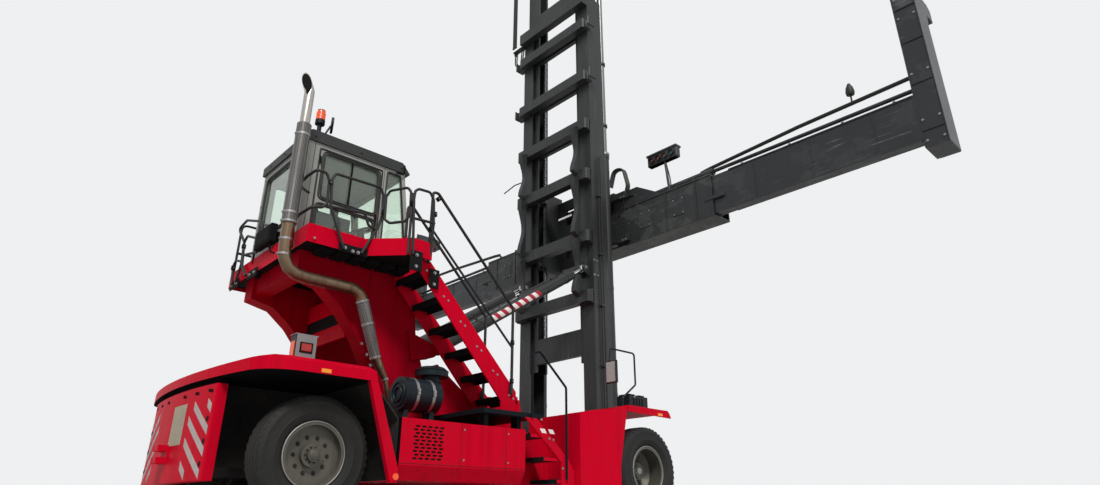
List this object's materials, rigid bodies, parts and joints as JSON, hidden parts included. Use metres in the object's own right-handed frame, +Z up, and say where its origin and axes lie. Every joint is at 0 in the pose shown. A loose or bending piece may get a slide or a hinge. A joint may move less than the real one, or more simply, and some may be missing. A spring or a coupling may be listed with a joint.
{
  "type": "empty container handler",
  "caption": "Mast-type empty container handler with a raised cab, duplex mast and telescopic side-lift spreader.",
  "frame": {"origin": "on the ground at the middle of the bounding box", "axes": "+X forward, towards the mast; +Y to the driver's left, along the spreader; +Z up"},
  "size_m": [7.22, 12.46, 11.61],
  "materials": {
    "red_paint": "gloss",
    "black_paint": "satin",
    "grey_paint": "satin",
    "dark_metal": "matte",
    "bright_steel": "polished",
    "exhaust_steel": "satin",
    "tyre": "matte",
    "glass": "gloss",
    "seat_cloth": "matte",
    "plastic": "matte"
  },
  "bodies": {
    "chassis": {"frame_rails": "dark_metal", "mast_carriers": "red_paint", "counterweight": "red_paint", "rear_deck": "red_paint", "arch_bands": "red_paint", "side_boxes": "red_paint", "front_boxes": "red_paint", "front_fenders": "red_paint", "front_axle": "dark_metal", "rear_axle": "dark_metal", "engine_block": "dark_metal", "engine_hood": "red_paint", "cab_tower": "red_paint", "platform": "red_paint", "platform_rails": "black_paint", "cab_shell": "grey_paint", "cab_roof": "black_paint", "cab_glass": "glass", "seat": "seat_cloth", "console": "plastic", "stairs": "red_paint", "stair_rails": "black_paint", "lower_steps": "black_paint", "exhaust": "exhaust_steel", "air_cleaner": "plastic", "lamps": "plastic", "mirrors": "plastic"},
    "cab_door": {"cab_door": "grey_paint", "door_glass": "glass"},
    "knuckle_right": {"knuckle_right": "dark_metal"},
    "knuckle_left": {"knuckle_left": "dark_metal"},
    "rear_wheel_right": {"rear_tyre_right": "tyre", "rear_rim_right": "grey_paint"},
    "rear_wheel_left": {"rear_tyre_left": "tyre", "rear_rim_left": "grey_paint"},
    "front_wheels_right": {"front_tyres_right": "tyre", "front_rims_right": "grey_paint"},
    "front_wheels_left": {"front_tyres_left": "tyre", "front_rims_left": "grey_paint"},
    "tilt_barrel_right": {"tilt_barrel_right": "black_paint"},
    "tilt_barrel_left": {"tilt_barrel_left": "black_paint"},
    "tilt_rod_right": {"tilt_rod_right": "bright_steel"},
    "tilt_rod_left": {"tilt_rod_left": "bright_steel"},
    "outer_mast": {"outer_posts": "black_paint", "outer_bars": "black_paint", "lift_barrels": "black_paint"},
    "inner_mast": {"inner_posts": "black_paint", "inner_bars": "black_paint", "lift_rods": "bright_steel"},
    "carriage": {"carriage": "black_paint"},
    "spreader": {"spreader_frame": "black_paint"},
    "beam_right": {"beam_right": "black_paint"},
    "beam_left": {"beam_left": "black_paint"}
  },
  "joints": [
    {"name": "front_roll_right", "type": "hinge", "parent": "chassis", "child": "front_wheels_right", "pos_m": [1.86, -1.775, 0.57], "axis": [0, 1, 0], "continuous": true},
    {"name": "front_roll_left", "type": "hinge", "parent": "chassis", "child": "front_wheels_left", "pos_m": [1.86, 1.775, 0.57], "axis": [0, 1, 0], "continuous": true},
    {"name": "steer_left", "type": "hinge", "parent": "chassis", "child": "knuckle_left", "pos_m": [-2.61, 1.2, 0.57], "axis": [0, 0, 1], "range_deg": [-58, 58]},
    {"name": "steer_right", "type": "hinge", "parent": "chassis", "child": "knuckle_right", "pos_m": [-2.61, -1.2, 0.57], "axis": [0, 0, 1], "range_deg": [-58, 58]},
    {"name": "rear_roll_right", "type": "hinge", "parent": "knuckle_right", "child": "rear_wheel_right", "pos_m": [-2.61, -1.445, 0.57], "axis": [0, 1, 0], "continuous": true},
    {"name": "rear_roll_left", "type": "hinge", "parent": "knuckle_left", "child": "rear_wheel_left", "pos_m": [-2.61, 1.445, 0.57], "axis": [0, 1, 0], "continuous": true},
    {"name": "door_swing", "type": "hinge", "parent": "chassis", "child": "cab_door", "pos_m": [-2.634, -0.7, 3.7], "axis": [0, 0, -1], "range_deg": [0, 38]},
    {"name": "mast_tilt", "type": "hinge", "parent": "chassis", "child": "outer_mast", "pos_m": [2.33, 0, 0.8], "axis": [0, -1, 0], "range_deg": [-3, 5]},
    {"name": "tilt_barrel_left_swing", "type": "hinge", "parent": "chassis", "child": "tilt_barrel_left", "pos_m": [-0.84, 0.749, 1.98], "axis": [0, -1, 0], "range_deg": [-2, 3]},
    {"name": "tilt_barrel_right_swing", "type": "hinge", "parent": "chassis", "child": "tilt_barrel_right", "pos_m": [-0.84, -0.749, 1.98], "axis": [0, -1, 0], "range_deg": [-2, 3]},
    {"name": "tilt_rod_left_slide", "type": "slide", "parent": "tilt_barrel_left", "child": "tilt_rod_left", "axis": [-0.8404, 0, -0.5419], "range_m": [-0.16, 0.24]},
    {"name": "tilt_rod_right_slide", "type": "slide", "parent": "tilt_barrel_right", "child": "tilt_rod_right", "axis": [-0.8404, 0, -0.5419], "range_m": [-0.16, 0.24]},
    {"name": "mast_lift", "type": "slide", "parent": "outer_mast", "child": "inner_mast", "axis": [0, 0, 1], "range_m": [-1.95, 3.5]},
    {"name": "carriage_lift", "type": "slide", "parent": "inner_mast", "child": "carriage", "axis": [0, 0, 1], "range_m": [-1.95, 3.5]},
    {"name": "side_shift", "type": "slide", "parent": "carriage", "child": "spreader", "axis": [0, 1, 0], "range_m": [-0.2, 0.2]},
    {"name": "beam_right_reach", "type": "slide", "parent": "spreader", "child": "beam_right", "axis": [0, 1, 0], "range_m": [0, 3.06]},
    {"name": "beam_left_reach", "type": "slide", "parent": "spreader", "child": "beam_left", "axis": [0, -1, 0], "range_m": [0, 3.06]}
  ],
  "couplings": [
    {"joint": "steer_right", "follows": "steer_left", "ratio": 1},
    {"joint": "tilt_barrel_left_swing", "follows": "mast_tilt", "ratio": 0.41325},
    {"joint": "tilt_barrel_right_swing", "follows": "mast_tilt", "ratio": 0.41325},
    {"joint": "tilt_rod_left_slide", "follows": "mast_tilt", "m_per_rad": 2.7096},
    {"joint": "tilt_rod_right_slide", "follows": "mast_tilt", "m_per_rad": 2.7096},
    {"joint": "carriage_lift", "follows": "mast_lift", "ratio": 1},
    {"joint": "beam_left_reach", "follows": "beam_right_reach", "ratio": 1}
  ]
}
